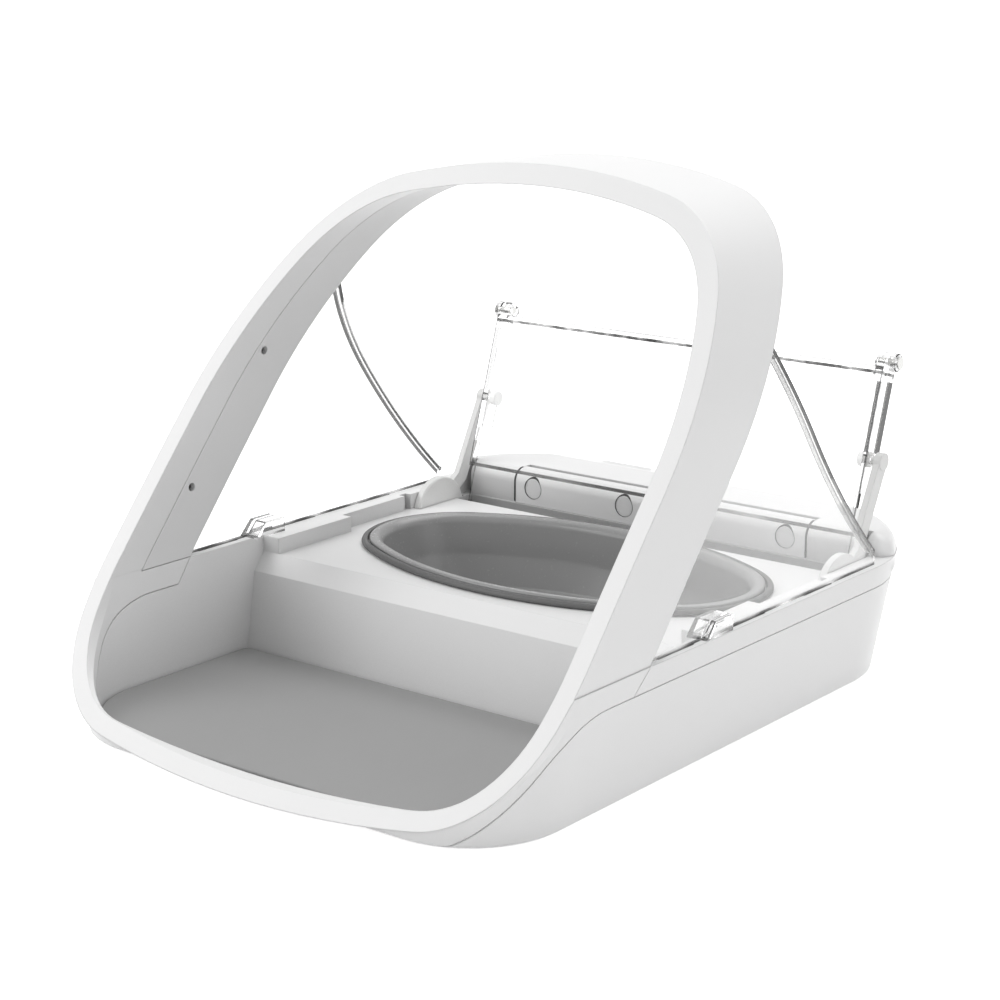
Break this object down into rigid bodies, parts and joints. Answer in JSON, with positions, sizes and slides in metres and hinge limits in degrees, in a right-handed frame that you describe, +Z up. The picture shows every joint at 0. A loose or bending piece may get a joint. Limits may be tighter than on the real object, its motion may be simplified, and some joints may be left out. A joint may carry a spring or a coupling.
{
  "type": "microchip pet feeder",
  "caption": "Pet feeder: food bowl in a low white housing behind a leaning arched entry hoop, with clear side panels and a clear motor-driven lid standing open.",
  "frame": {"origin": "middle of the overall box's underside, on the surface that the feet stand on", "axes": "+Z up, -Y towards the pet at the entry hoop, +Y towards the back, +X to the right as the pet looks at the bowl"},
  "size_m": [0.23, 0.2984, 0.207],
  "materials": {
    "white_housing": "satin white moulding",
    "white_liner": "satin white moulding",
    "white_cap": "satin",
    "white_arm": "satin",
    "white_door": "satin",
    "white_button": "satin",
    "clear_plastic": "clear polished",
    "clear_roller": "clear polished",
    "clear_lens": "clear polished",
    "grey_bowl": "semi-gloss",
    "grey_seal": "soft matte",
    "grey_mat": "soft matte",
    "grey_rubber": "soft matte",
    "copper_winding": "enamelled wire",
    "dark_screw": "blackened",
    "steel_pin": "bright",
    "bearing_plastic": "smooth",
    "brass_worm": "turned",
    "motor_can": "plated",
    "cell_case": "wrapped",
    "green_board": "lacquered"
  },
  "bodies": {
    "housing": {"lower_housing": "white_housing", "upper_deck": "white_housing", "hoop_shell": "white_housing", "hoop_liner": "white_liner", "antenna_coil": "copper_winding", "liner_screws": "dark_screw", "drum_cover": "white_housing", "cover_caps": "white_cap", "side_shield_right": "clear_plastic", "side_shield_left": "clear_plastic", "hub_bushes": "bearing_plastic", "drive_motor": "motor_can", "battery_cells": "cell_case", "battery_contacts": "steel_pin", "circuit_board": "green_board", "status_lens": "clear_lens", "rubber_feet": "grey_rubber", "housing_screws": "steel_pin"},
    "lid": {"lid_panel": "clear_plastic", "lid_arm_right": "white_arm", "lid_arm_left": "white_arm", "roller_axles": "steel_pin", "drive_gear": "bearing_plastic"},
    "roller_right": {"lid_roller_right": "clear_roller"},
    "roller_left": {"lid_roller_left": "clear_roller"},
    "worm": {"drive_worm": "brass_worm"},
    "bowl": {"food_bowl": "grey_bowl", "bowl_seal": "grey_seal"},
    "mat": {"food_mat": "grey_mat"},
    "door_right": {"battery_door_right": "white_door", "battery_springs_right": "steel_pin"},
    "door_left": {"battery_door_left": "white_door", "battery_springs_left": "steel_pin"},
    "add_pet_button": {"button_add_pet": "white_button"},
    "training_button": {"button_training": "white_button"},
    "lid_button": {"button_lid": "white_button"}
  },
  "joints": [
    {"name": "lid_hinge", "type": "hinge", "parent": "housing", "child": "lid", "pos_m": [0, 0.0835, 0.0415], "axis": [1, 0, 0], "range_deg": [0, 108.8]},
    {"name": "roller_spin_right", "type": "hinge", "parent": "lid", "child": "roller_right", "pos_m": [0.0996, 0.1278, 0.12603], "axis": [1, 0, 0], "continuous": true},
    {"name": "roller_spin_left", "type": "hinge", "parent": "lid", "child": "roller_left", "pos_m": [-0.0996, 0.1278, 0.12603], "axis": [1, 0, 0], "continuous": true},
    {"name": "worm_spin", "type": "hinge", "parent": "housing", "child": "worm", "pos_m": [0.1057, 0.0835, 0.03185], "axis": [0, 1, 0], "range_deg": [-2180, 0]},
    {"name": "bowl_lift", "type": "slide", "parent": "housing", "child": "bowl", "axis": [0, 0, 1], "range_m": [0, 0.06]},
    {"name": "mat_lift", "type": "slide", "parent": "housing", "child": "mat", "axis": [0, 0, 1], "range_m": [0, 0.04]},
    {"name": "battery_door_right_drop", "type": "slide", "parent": "housing", "child": "door_right", "axis": [0, 0, -1], "range_m": [0, 0.03]},
    {"name": "battery_door_left_drop", "type": "slide", "parent": "housing", "child": "door_left", "axis": [0, 0, -1], "range_m": [0, 0.03]},
    {"name": "add_pet_press", "type": "slide", "parent": "housing", "child": "add_pet_button", "axis": [0, -1, 0], "range_m": [0, 0.001], "stiffness_N_per_m": 900},
    {"name": "training_press", "type": "slide", "parent": "housing", "child": "training_button", "axis": [0, -1, 0], "range_m": [0, 0.001], "stiffness_N_per_m": 900},
    {"name": "lid_button_press", "type": "slide", "parent": "housing", "child": "lid_button", "axis": [0, -1, 0], "range_m": [0, 0.001], "stiffness_N_per_m": 900}
  ],
  "couplings": [
    {"joint": "worm_spin", "follows": "lid_hinge", "ratio": -20}
  ]
}
